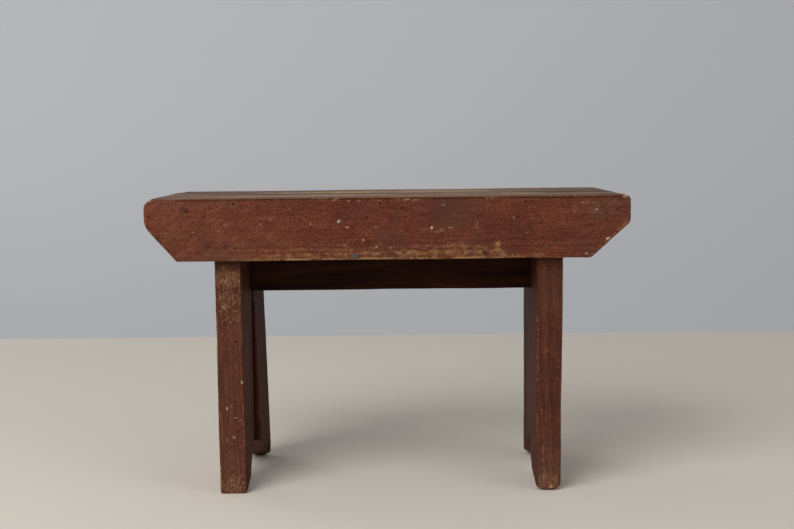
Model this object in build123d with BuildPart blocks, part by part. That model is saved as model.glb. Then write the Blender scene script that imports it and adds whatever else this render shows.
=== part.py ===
# Small painted pine stool: one seat board between two long apron boards, on two plank legs with
# inverted V feet, with a rail between the legs. Everything is nailed.
# Millimetres, +Z up, +X along the seat, the front towards -Y.
# The origin is on the floor, under the middle of the seat.
import os

from build123d import *

# Overall size
stool_length = 450.0
stool_depth = 186.0
stool_height = 285.0

# Apron boards, with clipped lower corners that were sawn by eye
apron_height = 58.0
apron_thickness = 20.0
clip_height = 33.0
left_clip_width = 29.0
right_clip_width = 35.0
top_corner_radius = 7.0
clip_corner_radius = 6.0

# Seat board
seat_thickness = 22.0
seat_end_setback = 2.0
seat_end_radius = 5.0

# Plank legs, and the V cut that leaves two feet on each
leg_thickness = 24.0
leg_overhang = 61.0
notch_height = 40.0
sole_radius = 4.0
leg_board_gap = 2.0

# The legs stand askew: their rear edges are further right, and one board leans in at its foot
leg_skew = 3.5
rear_board_lean = 6.5

# Worn soles, from each foot's outer end to the top of the V: shares of half a leg's width and of
# the V's height
left_front_foot_shares = ((0.19, 0), (0.34, 0.10), (0.49, 0.14), (0.60, 0.47))
right_front_foot_shares = ((0.18, 0), (0.42, 0.04), (0.68, 0.16), (0.85, 0.50))
rear_foot_shares = ((0.10, 0), (0.21, 0.06), (0.34, 0.20), (0.63, 0.50))

# Rail between the legs
rail_height = 74.0
rail_thickness = 20.0

# Worn arrises
leg_edge_radius = 1.5
board_edge_radius = 1.0

# Wire nails, all alike, driven flush
nail_length = 50.0
nail_shank_radius = 1.4
nail_head_radius = 3.0
nail_head_thickness = 1.2
nail_point_length = 4.0
nail_side_clearance = 0.1
nail_end_clearance = 0.5

# Where the nails go: heights, setbacks and offsets from the boards' middles
apron_leg_nail_heights = (10.0, 26.0)
apron_leg_nail_offset = 5.0
apron_seat_nail_setback = 35.0
apron_seat_nail_inset = 180.0
seat_leg_nail_setback = 20.0
seat_leg_nail_inset = 55.0
seat_rail_nail_spacing = 70.0
rail_nail_offset = 6.0
rail_nail_heights = (20.0, 50.0)

# Planes and faces that several pieces share
half_length = stool_length / 2
half_depth = stool_depth / 2
apron_inner_y = half_depth - apron_thickness
board_width = 2 * apron_inner_y
apron_bottom_z = stool_height - apron_height
seat_bottom_z = stool_height - seat_thickness
leg_outer_x = half_length - leg_overhang
leg_inner_x = leg_outer_x - leg_thickness
leg_middle_x = leg_outer_x - leg_thickness / 2
rail_bottom_z = seat_bottom_z - rail_height

FRONT = -1
REAR = 1
LEFT = -1
RIGHT = 1


def facing(origin, outward):
    """Plane of a nail head's seat: its Z points out of the wood, so the nail goes in along -Z."""
    return Plane(origin=origin, z_dir=outward)


def leg_shift(end, y, z):
    """How far to the right of square a leg stands there."""
    skew = leg_skew * (y + apron_inner_y) / board_width
    if end == LEFT and y > 0:
        return skew + rear_board_lean * (seat_bottom_z - z) / seat_bottom_z
    return skew


def apron_leg_nail_seats(side):
    """Two staggered nails through one apron into each leg's edge."""
    seats = []
    for height, offset in zip(apron_leg_nail_heights, (-apron_leg_nail_offset, apron_leg_nail_offset)):
        z = apron_bottom_z + height
        for end in (LEFT, RIGHT):
            x = end * leg_middle_x + offset + leg_shift(end, side * apron_inner_y, z)
            seats.append(facing((x, side * half_depth, z), (0, side, 0)))
    return seats


def apron_seat_nail_seats(side):
    """Four nails through one apron into the seat board's edge."""
    middle_z = seat_bottom_z + seat_thickness / 2
    outer_x = half_length - apron_seat_nail_setback
    inner_x = half_length - apron_seat_nail_inset
    return [
        facing((x, side * half_depth, middle_z), (0, side, 0))
        for x in (-outer_x, -inner_x, inner_x, outer_x)
    ]


def seat_leg_nail_seats():
    """Four nails down through the seat into each leg's top, two in each half of its width."""
    near_y = apron_inner_y - seat_leg_nail_setback
    far_y = apron_inner_y - seat_leg_nail_inset
    return [
        facing((end * leg_middle_x + leg_shift(end, y, seat_bottom_z), y, stool_height), (0, 0, 1))
        for end in (LEFT, RIGHT)
        for y in (-near_y, -far_y, far_y, near_y)
    ]


def seat_rail_nail_seats():
    """Three nails down through the seat into the rail's upper edge."""
    return [
        facing((x, 0, stool_height), (0, 0, 1))
        for x in (-seat_rail_nail_spacing, 0, seat_rail_nail_spacing)
    ]


def rail_nail_seats(end):
    """Two nails through a leg into the rail's end, one each side of the leg's middle."""
    seats = []
    for height, y in zip(rail_nail_heights, (-rail_nail_offset, rail_nail_offset)):
        z = rail_bottom_z + height
        x = end * leg_outer_x + leg_shift(end, y, z)
        slope = end * leg_skew / board_width
        rise = (leg_shift(end, y, z) - leg_shift(end, y, seat_bottom_z)) / (seat_bottom_z - z)
        seats.append(facing((x, y, z), (end, -slope, end * rise)))
    return seats


def drive_holes(seats):
    """Holes for the nails, with room round the shank and the head, and past the point."""
    with Locations(*seats):
        CounterBoreHole(
            radius=nail_shank_radius + nail_side_clearance,
            counter_bore_radius=nail_head_radius + nail_side_clearance,
            counter_bore_depth=nail_head_thickness,
            depth=nail_length + nail_end_clearance,
        )


def save(piece, name):
    """Label a finished piece and write its STEP file."""
    piece.part.label = name
    export_step(piece.part, f"parts/{name}.step")


os.makedirs("parts", exist_ok=True)

# One nail: its head's top is on the XY plane and its point is down
with BuildPart() as nail:
    with BuildSketch(Plane.XZ):
        with BuildLine():
            Polyline(
                (0, 0),
                (nail_head_radius, 0),
                (nail_head_radius, -nail_head_thickness),
                (nail_shank_radius, -nail_head_thickness),
                (nail_shank_radius, nail_point_length - nail_length),
                (0, -nail_length),
                close=True,
            )
        make_face()
    revolve(axis=Axis.Z)


def nails_at(seats):
    """A group of separate nails, one on each seat, in the part being built."""
    with Locations(*seats):
        add(nail.part)


# Seat board: fills the space between the aprons, its upper end edges worn round
with BuildPart() as seat_board:
    seat_length = stool_length - 2 * seat_end_setback
    with BuildSketch(Plane.XY.offset(seat_bottom_z)):
        Rectangle(seat_length, board_width)
    extrude(amount=seat_thickness)
    top_ends = seat_board.edges().filter_by(Axis.Y).group_by(Axis.Z)[-1]
    fillet(top_ends, radius=seat_end_radius)
    drive_holes(apron_seat_nail_seats(FRONT) + apron_seat_nail_seats(REAR))
    drive_holes(seat_leg_nail_seats() + seat_rail_nail_seats())
save(seat_board, "seat_board")


# Aprons: one outline for both, rounded above and clipped below
with BuildSketch() as apron_outline:
    with BuildLine():
        Polyline(
            (-half_length, stool_height),
            (half_length, stool_height),
            (half_length, apron_bottom_z + clip_height),
            (half_length - right_clip_width, apron_bottom_z),
            (left_clip_width - half_length, apron_bottom_z),
            (-half_length, apron_bottom_z + clip_height),
            close=True,
        )
    make_face()
    corner_rows = apron_outline.vertices().group_by(Axis.Y)
    fillet(corner_rows[-1], radius=top_corner_radius)
    fillet(corner_rows[0] + corner_rows[1], radius=clip_corner_radius)

for apron_side, apron_name in ((FRONT, "front_apron"), (REAR, "rear_apron")):
    with BuildPart() as apron:
        with BuildSketch(Plane.XZ.offset(-apron_side * apron_inner_y)):
            add(apron_outline.sketch)
        extrude(amount=-apron_side * apron_thickness)
        show_face = apron.faces().sort_by(Axis.Y)[0 if apron_side == FRONT else -1]
        fillet(show_face.edges(), radius=board_edge_radius)
        drive_holes(apron_seat_nail_seats(apron_side) + apron_leg_nail_seats(apron_side))
    save(apron, apron_name)

    with BuildPart() as apron_nails:
        nails_at(apron_seat_nail_seats(apron_side) + apron_leg_nail_seats(apron_side))
    save(apron_nails, f"{apron_name}_nails")


# Leg boards: the left leg is two boards side by side, the right leg is one
leg_boards = (
    ("left_leg_front", LEFT, -apron_inner_y, -leg_board_gap / 2),
    ("left_leg_rear", LEFT, leg_board_gap / 2, apron_inner_y),
    ("right_leg", RIGHT, -apron_inner_y, apron_inner_y),
)
finished_legs = {}
for board_name, leg_end, board_front_y, board_rear_y in leg_boards:
    front_foot_shares = left_front_foot_shares if leg_end == LEFT else right_front_foot_shares
    front_sole = [
        (apron_inner_y * (along - 1), notch_height * up) for along, up in front_foot_shares
    ]
    rear_sole = [(apron_inner_y * (1 - along), notch_height * up) for along, up in rear_foot_shares]
    with BuildPart() as leg_board:
        # the board's plan on the floor, its corners worn round, pushed up along its lean
        with BuildSketch() as plan:
            with BuildLine():
                Polyline(
                    *(
                        (leg_end * leg_middle_x + across + leg_shift(leg_end, y, 0), y)
                        for across, y in (
                            (-leg_thickness / 2, board_front_y),
                            (leg_thickness / 2, board_front_y),
                            (leg_thickness / 2, board_rear_y),
                            (-leg_thickness / 2, board_rear_y),
                        )
                    ),
                    close=True,
                )
            make_face()
            fillet(plan.vertices(), radius=leg_edge_radius)
        lean = leg_shift(leg_end, board_rear_y, seat_bottom_z) - leg_shift(leg_end, board_rear_y, 0)
        rise = Vector(lean, 0, seat_bottom_z)
        extrude(amount=rise.length, dir=rise)
        # its side view: the V cut, with the soles' ends worn round
        with BuildSketch(Plane.YZ) as side_view:
            with BuildLine():
                Polyline(
                    (-apron_inner_y, seat_bottom_z),
                    (-apron_inner_y, 0),
                    *front_sole,
                    (0, notch_height),
                    *reversed(rear_sole),
                    (apron_inner_y, 0),
                    (apron_inner_y, seat_bottom_z),
                    close=True,
                )
            make_face()
            sole_ends = side_view.vertices().group_by(Axis.Y)[0]
            fillet(sole_ends, radius=sole_radius)
        extrude(amount=half_length, both=True, mode=Mode.INTERSECT)
        drive_holes(apron_leg_nail_seats(FRONT) + apron_leg_nail_seats(REAR))
        drive_holes(seat_leg_nail_seats() + rail_nail_seats(leg_end))
    finished_legs[board_name] = leg_board.part
    save(leg_board, board_name)


# Rail: on edge between the legs, up against the seat, its ends cut askew to fit them
with BuildPart() as centre_rail:
    with BuildSketch(Plane.XY.offset(rail_bottom_z)):
        with BuildLine():
            Polyline(
                *(
                    (end * leg_inner_x + leg_shift(RIGHT, y, rail_bottom_z), y)
                    for end, y in (
                        (LEFT, -rail_thickness / 2),
                        (RIGHT, -rail_thickness / 2),
                        (RIGHT, rail_thickness / 2),
                        (LEFT, rail_thickness / 2),
                    )
                ),
                close=True,
            )
        make_face()
    extrude(amount=rail_height)
    lower_arrises = centre_rail.edges().filter_by(Axis.X).group_by(Axis.Z)[0]
    fillet(lower_arrises, radius=board_edge_radius)
    add(finished_legs["left_leg_rear"], mode=Mode.SUBTRACT)
    drive_holes(seat_rail_nail_seats() + rail_nail_seats(LEFT) + rail_nail_seats(RIGHT))
save(centre_rail, "centre_rail")


# Nails from above, and through the legs into the rail
with BuildPart() as seat_nails:
    nails_at(seat_leg_nail_seats() + seat_rail_nail_seats())
save(seat_nails, "seat_nails")

for leg_end, nails_name in ((LEFT, "left_leg_nails"), (RIGHT, "right_leg_nails")):
    with BuildPart() as leg_nails:
        nails_at(rail_nail_seats(leg_end))
    save(leg_nails, nails_name)
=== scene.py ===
"""Small painted pine stool: worn boards, wire nails and a plain studio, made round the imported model."""
import functools
import math

import bmesh
import bpy
import numpy as np
from bpy.props import FloatProperty, FloatVectorProperty, IntProperty, PointerProperty
from mathutils import Matrix, Vector


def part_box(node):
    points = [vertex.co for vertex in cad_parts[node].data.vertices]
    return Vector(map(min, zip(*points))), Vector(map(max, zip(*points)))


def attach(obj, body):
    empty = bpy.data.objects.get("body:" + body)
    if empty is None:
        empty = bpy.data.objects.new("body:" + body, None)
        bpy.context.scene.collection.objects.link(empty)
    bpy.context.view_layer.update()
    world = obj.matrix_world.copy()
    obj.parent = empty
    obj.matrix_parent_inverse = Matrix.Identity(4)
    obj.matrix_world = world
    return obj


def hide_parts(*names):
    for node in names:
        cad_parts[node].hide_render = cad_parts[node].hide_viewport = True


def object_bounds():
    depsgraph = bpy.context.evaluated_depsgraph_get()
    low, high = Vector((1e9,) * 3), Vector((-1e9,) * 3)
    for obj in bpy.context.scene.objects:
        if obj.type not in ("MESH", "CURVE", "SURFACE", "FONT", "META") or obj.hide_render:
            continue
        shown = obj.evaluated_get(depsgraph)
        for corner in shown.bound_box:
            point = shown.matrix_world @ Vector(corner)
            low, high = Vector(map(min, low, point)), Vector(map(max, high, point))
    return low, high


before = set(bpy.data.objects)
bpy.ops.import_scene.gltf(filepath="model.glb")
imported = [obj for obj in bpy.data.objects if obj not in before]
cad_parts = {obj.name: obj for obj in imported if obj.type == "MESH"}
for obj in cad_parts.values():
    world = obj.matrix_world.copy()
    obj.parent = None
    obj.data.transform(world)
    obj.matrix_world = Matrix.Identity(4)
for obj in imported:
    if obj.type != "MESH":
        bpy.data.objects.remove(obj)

bl_info = {
    "name": "Painted pine stool",
    "version": (1, 0, 0),
    "blender": (4, 5, 0),
    "location": "3D View > Sidebar > Stool",
    "description": "Builds a worn, painted pine stool piece by piece round its packed model",
    "category": "Add Mesh",
}

MM = 0.001
CAD_LOW, CAD_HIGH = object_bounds()
BODY = "root"
TINY = 1e-9
X, Y, Z = 0, 1, 2
# outward from the stool's front, its top and its right side
FORWARDS = (0, -1, 0)
UPWARDS = (0, 0, 1)
RIGHTWARDS = (1, 0, 0)

# faces of the stool, in millimetres from the middle of the floor under it
FRONT_Y = CAD_LOW.y / MM
REAR_Y = CAD_HIGH.y / MM
SEAT_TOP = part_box("seat_board")[1].z / MM
LEG_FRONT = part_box("right_leg")[0].y / MM
LEG_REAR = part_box("right_leg")[1].y / MM
LEG_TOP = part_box("right_leg")[1].z / MM

# degrees past which an edge is drawn sharp
BOARD_EDGE_ANGLE = 40
NAIL_EDGE_ANGLE = 35

# a wormhole's cutter stands half below the face, and a nail's head is driven in a little
HOLE_DEPTH = 18 * MM
NAIL_SUNK = 0.35 * MM
NAIL_SIZES = {
    "Head Radius": 3 * MM,
    "Head Thickness": 1.2 * MM,
    "Shank Radius": 1.4 * MM,
    "Length": 49 * MM,
    "Point Length": 4 * MM,
}

# in millimetres: how much rounder than other arrises the feet are, how fast that dies out up the
# legs, and how far a mark reaches into its face
KNUCKLE = 8.5
SOLE_WEAR_HEIGHT = 9
MARK_DEPTH = 3

# the camera's place in metres, how far it is tipped and turned in degrees, and its lens and
# sensor width in millimetres
CAMERA_PLACE = (0.00842, -1.16826, 0.33348)
CAMERA_PITCH = 5.8898
CAMERA_ROLL = 0.6274
CAMERA_LENS = 52.94
CAMERA_SENSOR = 36


def srgb(code):
    """Linear colour of a six-figure sRGB hex code."""
    values = [int(code[i:i + 2], 16) / 255 for i in (0, 2, 4)]
    return [v / 12.92 if v <= 0.04045 else ((v + 0.055) / 1.055) ** 2.4 for v in values]


def length_setting(title, note, millimetres):
    """A length that the sidebar shows, with its default in millimetres."""
    return FloatProperty(name=title, description=note, default=millimetres * MM, unit="LENGTH", precision=5)


def colour_setting(title, note, code):
    """A colour that the sidebar shows, with its default as an sRGB hex code."""
    return FloatVectorProperty(
        name=title, description=note, default=srgb(code), subtype="COLOR", size=3, min=0, max=1
    )


def light_setting(title, note, amount, unit="POWER"):
    """An amount of light that the sidebar shows."""
    return FloatProperty(name=title, description=note, default=amount, unit=unit)


class StoolShape(bpy.types.PropertyGroup):
    """Sizes of the wear and of the hand-sawn ends."""

    apron_step: length_setting("Apron mesh step", "Cell size of the aprons' meshes", 1.15)
    board_step: length_setting("Board mesh step", "Cell size of the other boards' meshes", 1.4)
    left_clip_width: length_setting("Left clip width", "How far the left lower corner is cut in", 29)
    right_clip_width: length_setting("Right clip width", "How far the right lower corner is cut in", 36.5)
    clip_height: length_setting("Clip height", "How far up the lower corners are cut", 33)
    left_corner_radius: length_setting("Left corner radius", "Worn upper left corner of the aprons", 9)
    right_corner_radius: length_setting("Right corner radius", "Worn upper right corner of the aprons", 4.5)
    left_clip_radius: length_setting("Left clip radius", "Worn upper corner of the left clipped end", 18)
    right_clip_radius: length_setting("Right clip radius", "Worn upper corner of the right clipped end", 8)
    foot_corner_radius: length_setting("Lower corner radius", "Worn lower corners of the clipped ends", 2.5)
    seat_end_radius: length_setting("Seat end radius", "Worn upper end edges of the seat", 2)
    arris_radius: length_setting("Arris radius", "Wear on the boards' long edges", 1.2)
    waviness: length_setting("Waviness", "How far the hand-planed faces stray from flat", 0.15)
    leg_skew: length_setting("Leg skew", "How far a leg's rear edge stands to the right of its front", 3.5)
    leg_swell: length_setting("Leg swell", "How much thicker the legs' front edges have grown", 0.8)
    board_lean: length_setting("Board lean", "How far in the left leg's rear board stands at its foot", 6.5)
    wormhole_radius: length_setting("Wormhole radius", "Usual radius of a woodworm's exit hole", 0.85)
    seed: IntProperty(name="Seed", description="Starts the random wear", default=7)


class StoolFinish(bpy.types.PropertyGroup):
    """Colours of the paint, the wood and the nails."""

    paint: colour_setting("Paint", "Oxide-red paint where it is sound", "642C1B")
    deep_paint: colour_setting("Deep paint", "Paint that has darkened with dirt and oil", "401A10")
    faded_paint: colour_setting("Faded paint", "Paint rubbed thin and chalky", "774833")
    dull_paint: colour_setting("Dull paint", "Paint greyed by dust and handling", "4E342B")
    bare_wood: colour_setting("Bare wood", "Pine where the paint has gone", "A37C52")
    old_wood: colour_setting("Old wood", "Darker grain of the bare pine", "6A4A31")
    seat_wood: colour_setting("Seat wood", "Grey-brown weathered seat", "7C5F49")
    seat_grain: colour_setting("Seat grain", "Dark grain of the weathered seat", "4A3629")
    seat_scrubbed: colour_setting("Scrubbed wood", "Seat where use has rubbed it pale", "BF9F7C")
    # this colour is old dirt, and also painted shade where the grime attribute darkens holes, cracks,
    # corners, the legs' inner faces and the rail
    dirt: colour_setting("Dirt", "Old dirt in holes, cracks and corners", "20140D")
    iron: colour_setting("Iron", "Nail heads, rusted brown", "3B2A22")
    rust: colour_setting("Rust", "Brighter rust on the nail heads", "6A3B22")


class StoolStudio(bpy.types.PropertyGroup):
    """Floor, backdrop and light."""

    floor: colour_setting("Floor", "Plain pale floor", "E9E1D5")
    backdrop: colour_setting("Backdrop", "Plain pale backdrop", "E6E8EC")
    key_power: light_setting("Key light", "Power of the soft key light", 26)
    fill_power: light_setting("Fill light", "Power of the soft fill light", 7)
    back_power: light_setting("Back light", "Power of the weak back light", 5.5)
    room_light: light_setting("Room light", "Strength of the even room light", 0.29, "NONE")


def add_node(tree, kind, inputs=(), stops=(), **settings):
    """Adds one node, with its settings, its inputs in order or by name, and a ramp's stops.

    A kind without "Node" in it is a shader node, and a node given as an input is its first output.
    """
    node = tree.nodes.new(kind if "Node" in kind else "ShaderNode" + kind)
    for name, value in settings.items():
        setattr(node, name, value)
    for socket, value in inputs.items() if isinstance(inputs, dict) else enumerate(inputs):
        if isinstance(value, bpy.types.Node):
            value = value.outputs[0]
        if isinstance(value, bpy.types.NodeSocket):
            tree.links.new(value, node.inputs[socket])
        else:
            node.inputs[socket].default_value = value
    if stops:
        ramp = node.color_ramp
        while len(ramp.elements) < len(stops):
            ramp.elements.new(1)
        for element, (position, colour) in zip(ramp.elements, stops):
            element.position = position
            element.color = (*colour, 1)
    return node


def per_metre(millimetres):
    """Texture scale of a pattern whose features are that far apart."""
    return 1 / (millimetres * MM)


def marks_on(axis, level, rows):
    """Marks on a flat face square to an axis, in millimetres.

    Each row has the place and the reach along the face's two axes, a colour, a strength, and how
    deep the mark reaches where that isn't the usual depth.
    """
    found = []
    for a, b, reach_a, reach_b, tint, strength, *depth in rows:
        place = [a, b]
        reach = [reach_a, reach_b]
        place.insert(axis, level)
        reach.insert(axis, depth[0] if depth else MARK_DEPTH)
        found.append((place, reach, tint, strength))
    return found


MARK_COLOURS = {
    "bare": srgb("9A724A"),
    "ochre": srgb("986848"),
    "fleck": srgb("BD9A7A"),
    "golden": srgb("A37A56"),
    "cream": srgb("D0BEA6"),
    "pink": srgb("A56A58"),
    "teal": srgb("3F6468"),
    "blue": srgb("5F7C84"),
    "grey": srgb("7E736A"),
    "dusk": srgb("3A2418"),
    "olive": srgb("4C3A20"),
    "pale": srgb("D6B78F"),
    "rubbed": srgb("9A6647"),
    "dusty": srgb("97725A"),
    "straw": srgb("DCC896"),
    "tan": srgb("B58F62"),
    "soiled": srgb("7C5840"),
}

# Wear given one by one: where the paint has gone or something has marked it
FRONT_APRON_MARKS = marks_on(Y, FRONT_Y, (
    # a thin worn line along the lower arris
    (-118, 227.6, 22, 1, "tan", 0.72), (-84, 227.6, 14, 1.3, "tan", 0.95),
    (-52, 227.6, 20, 1, "tan", 0.76), (-14, 227.6, 24, 1.3, "tan", 0.9), (34, 227.6, 26, 1, "tan", 0.8),
    (76, 227.6, 20, 1.4, "tan", 0.9), (104, 227.6, 12, 1, "tan", 0.8), (146, 227.6, 26, 0.9, "tan", 0.62),
    # mottled bare wood along the lower edge, highest right of the middle
    (-118, 229, 30, 2.6, "bare", 0.62), (-112, 234, 20, 6, "ochre", 0.42),
    (-84, 235, 18, 7, "bare", 0.46), (-60, 237, 16, 7, "soiled", 0.5), (-128, 240, 16, 6, "soiled", 0.42),
    (-106, 231, 9, 3.4, "ochre", 0.6), (-92, 229.5, 12, 2.4, "bare", 0.6),
    (-76, 232, 7, 4.6, "ochre", 0.66), (-66, 230, 14, 3, "bare", 0.62), (-52, 233, 12, 5.5, "ochre", 0.5),
    (-40, 234, 12, 7, "bare", 0.52), (-18, 232, 16, 5, "bare", 0.56), (-8, 238, 12, 5, "rubbed", 0.42),
    (4, 234, 24, 7, "ochre", 0.46), (20, 232, 20, 6, "bare", 0.6), (30, 238, 14, 5, "rubbed", 0.4),
    (44, 234, 18, 8.5, "bare", 0.52), (64, 234, 16, 9.5, "bare", 0.57), (70, 241, 7, 4, "ochre", 0.52),
    (84, 233, 10, 8, "bare", 0.6), (97, 233, 6, 6, "ochre", 0.6), (102, 237, 3.6, 8.5, "bare", 0.74),
    (105, 231, 5, 5, "bare", 0.66), (118, 229, 12, 2.6, "bare", 0.6), (139, 230, 9, 3, "ochre", 0.55),
    (90, 232, 4, 3.2, "dusk", 0.72), (-64, 239, 14, 5, "soiled", 0.42),
    # flecks strung along the top arris
    (-150, 283.6, 24, 1.2, "rubbed", 0.5), (-112, 283.4, 16, 1.1, "rubbed", 0.55),
    (-126, 282.4, 3, 1, "pink", 0.7), (-94, 283.6, 5, 1.1, "fleck", 0.5),
    (-62, 283.6, 12, 1, "pink", 0.45), (-49, 283, 4, 2.2, "fleck", 0.66),
    (-36, 282.4, 2.4, 1.1, "fleck", 0.7), (-26, 282.2, 3, 1.1, "ochre", 0.66),
    (-9, 282.6, 8, 1.3, "bare", 0.62), (4, 283, 5, 1.3, "bare", 0.6), (20, 282.8, 12, 1.4, "fleck", 0.6),
    (32, 281.5, 4, 1, "ochre", 0.5), (66, 282, 1.6, 1.2, "fleck", 0.7), (79, 282.6, 6, 1, "pink", 0.6),
    (92, 283, 1.6, 0.9, "fleck", 0.6), (157, 282, 3, 1, "pink", 0.62),
    (196, 283.6, 20, 1.2, "rubbed", 0.5),
    # drips, flecks and scuffs over the face
    (-45, 263, 1.3, 1.5, "cream", 0.95), (-43.6, 263, 2.6, 2.6, "blue", 0.55),
    (-37, 257.5, 1.9, 1, "fleck", 0.85), (-71, 261, 1.2, 1.1, "fleck", 0.8),
    (-117, 261, 1.2, 1.1, "pink", 0.8), (-30, 230, 4.5, 2.6, "teal", 0.8),
    (-29, 234, 1.4, 2.4, "blue", 0.6), (-30, 240, 5, 3.5, "dusk", 0.5),
    (-180, 255, 1.1, 0.8, "fleck", 0.8), (-156, 255, 1.3, 1.3, "pink", 0.85),
    (-22, 245.5, 1.6, 1.2, "fleck", 0.85), (-40, 241, 1.3, 1.3, "pink", 0.8),
    (-10, 239, 1.8, 1.3, "fleck", 0.8), (-11, 257, 3.2, 2, "pink", 0.5),
    (-2, 263, 1.4, 1.5, "pink", 0.66), (13, 254, 3, 1.3, "pink", 0.55), (41, 256.5, 1.4, 1.6, "cream", 1),
    (44, 252.5, 4.5, 1.3, "rubbed", 0.66), (50, 255, 5, 2, "ochre", 0.52),
    (58, 255.5, 3, 2.2, "fleck", 0.5), (42, 243.5, 1.6, 1.6, "fleck", 0.5),
    (28, 246, 7, 0.7, "ochre", 0.5), (52, 279, 3.6, 3.4, "grey", 0.5), (83, 260, 1.2, 1, "fleck", 0.8),
    (82, 256.5, 4.2, 1.8, "bare", 0.56), (79, 272, 2.6, 1.6, "fleck", 0.5),
    (117, 265, 1.5, 1, "cream", 0.8), (143, 268, 1.1, 2.2, "pink", 0.6),
    (129, 251, 1.7, 1, "fleck", 0.66), (147, 238, 3, 1.6, "grey", 0.42), (176, 273, 7, 5, "ochre", 0.5),
    (191, 271, 11, 7, "soiled", 0.52), (186, 279, 9, 3, "ochre", 0.44),
    (193, 272, 1.4, 1.2, "cream", 0.9), (179, 279, 2.6, 1.2, "fleck", 0.55),
    # left end: rubbed paint and filled nails
    (-196, 262, 24, 18, "rubbed", 0.34), (-158, 258, 18, 12, "rubbed", 0.36),
    (-112, 268, 14, 4, "rubbed", 0.36), (-100, 246, 22, 7, "soiled", 0.34),
    (-187, 274, 4.4, 3.4, "dusk", 0.62), (-150, 240, 3, 3, "dusk", 0.5),
    # right end: clipped edge rubbed to the wood
    (221, 259, 4, 6, "ochre", 0.6, 5), (216, 252, 6, 5.5, "rubbed", 0.68, 5),
    (210, 247, 6, 5, "ochre", 0.66, 5), (204, 241, 5, 5, "rubbed", 0.66, 5),
    (198, 235, 5, 4.5, "ochre", 0.62, 5), (193, 230, 5, 3, "bare", 0.66, 5),
    (204, 245, 1.4, 1.4, "cream", 0.95), (184, 231, 1.6, 1.2, "fleck", 0.9),
    (221, 284, 5, 1.8, "pale", 0.75, 8),
    # left end: thin bare rim
    (-224, 262, 1.4, 12, "ochre", 0.6, 5), (-214, 247, 5, 6, "dusk", 0.55, 5),
))

SEAT_MARKS = marks_on(Z, SEAT_TOP, (
    (-76, 52, 70, 5, "pale", 0.55), (-52, 38, 60, 6, "pale", 0.72), (-64, 22, 74, 6, "pale", 0.66),
    (-40, 6, 60, 5, "pale", 0.6), (-30, -30, 64, 8, "pale", 0.62), (-110, -46, 40, 6, "pale", 0.5),
    (70, 50, 90, 6, "pale", 0.6), (84, 34, 80, 7, "pale", 0.66), (66, 18, 70, 6, "pale", 0.62),
    (104, 2, 60, 5, "pale", 0.6), (84, -24, 70, 8, "pale", 0.62), (140, -44, 60, 6, "pale", 0.5),
    (0, 30, 160, 26, "tan", 0.3), (-97, 14, 5, 3, "straw", 0.7), (-103, 36, 4, 2.6, "straw", 0.64),
    (-160, 30, 40, 12, "grey", 0.5), (-20, -9, 60, 2.4, "dusk", 0.36), (60, -7, 50, 2, "dusk", 0.36),
    (-150, 12, 50, 2.4, "dusk", 0.36), (170, 16, 40, 4, "dusk", 0.45), (160, -20, 36, 14, "dusk", 0.3),
    (-30, 45, 5, 5, "dusk", 0.5),
))

LEFT_LEG_MARKS = marks_on(Y, LEG_FRONT, (
    (-152, 130, 20, 80, "soiled", 0.33), (-152, 210, 16, 12, "golden", 0.64),
    (-152, 207, 13, 9, "fleck", 0.58), (-152, 190, 15, 10, "golden", 0.48),
    (-155, 184, 5, 9, "fleck", 0.48), (-152, 174, 13, 12, "golden", 0.41),
    (-152, 160, 13, 12, "rubbed", 0.38), (-155, 182, 1, 4, "pink", 0.7),
    (-152, 224, 14, 3, "olive", 0.66), (-151, 167, 1.1, 1.1, "cream", 0.8),
    (-141, 109, 1.4, 1.2, "cream", 0.9), (-156, 84, 1.2, 1.1, "cream", 0.85),
    (-152, 86, 1.1, 0.9, "fleck", 0.8), (-148, 75, 1.2, 1.2, "cream", 0.8),
    (-144, 73, 3.2, 1.6, "fleck", 0.45), (-156, 53, 1.2, 1.3, "fleck", 0.7),
    (-150, 56, 1.2, 2, "fleck", 0.75), (-152, 132, 10, 12, "olive", 0.4),
    (-152, 24, 14, 30, "soiled", 0.48), (-150, 10, 14, 15, "dusty", 0.54),
    (-151, 9, 1, 1.4, "fleck", 0.8), (-158, 4, 1.4, 1.2, "tan", 0.8, 6),
    (-150, 1.2, 11, 1.8, "rubbed", 0.8, 5), (-162, 60, 1.6, 40, "rubbed", 0.45),
    (-140, 190, 1.4, 30, "rubbed", 0.5),
))

RIGHT_LEG_MARKS = marks_on(Y, LEG_FRONT, (
    # along the crack
    (149.8, 90, 0.8, 6, "dusty", 0.5), (149.3, 80, 0.8, 6, "dusty", 0.66),
    (148.7, 70, 0.8, 6, "dusty", 0.56), (148.2, 60, 0.8, 6, "dusty", 0.74),
    (147.5, 50, 0.8, 6, "dusty", 0.62), (146.8, 40, 0.8, 6, "dusty", 0.76),
    (146.2, 30, 0.8, 6, "dusty", 0.66), (145.5, 19, 0.8, 6, "dusty", 0.55),
    # over the face and the foot
    (152, 223, 14, 3.4, "olive", 0.7), (152, 208, 13, 12, "rubbed", 0.36),
    (145, 122, 1.2, 1.6, "fleck", 0.6), (153, 210, 2, 2, "fleck", 0.42),
    (152, 190, 12, 18, "soiled", 0.36), (160, 120, 5, 14, "rubbed", 0.34),
    (154, 134, 10, 7, "rubbed", 0.34), (152, 28, 13, 30, "soiled", 0.5),
    (152, 5, 14, 9, "soiled", 0.78, 8), (148, 14, 6, 10, "dusty", 0.58, 6),
    (158, 10, 4, 7, "golden", 0.66, 6), (155, 4, 5, 3, "tan", 0.84, 6),
    # a pale line down the inner front arris, for worn paint with a painted sheen, and rubbed paint down the
    # outer one
    (141, 120, 1.2, 90, "dusty", 0.36), (165, 90, 1.4, 60, "rubbed", 0.4),
))

LEFT_REAR_FOOT_MARKS = (
    ((-145, 50, 10), (16, 24, 10), "olive", 0.9),
    ((-141, 50, 16), (3, 14, 7), "ochre", 0.5),
    ((-152, 20, 18), (14, 10, 8), "fleck", 0.3),
)

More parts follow.
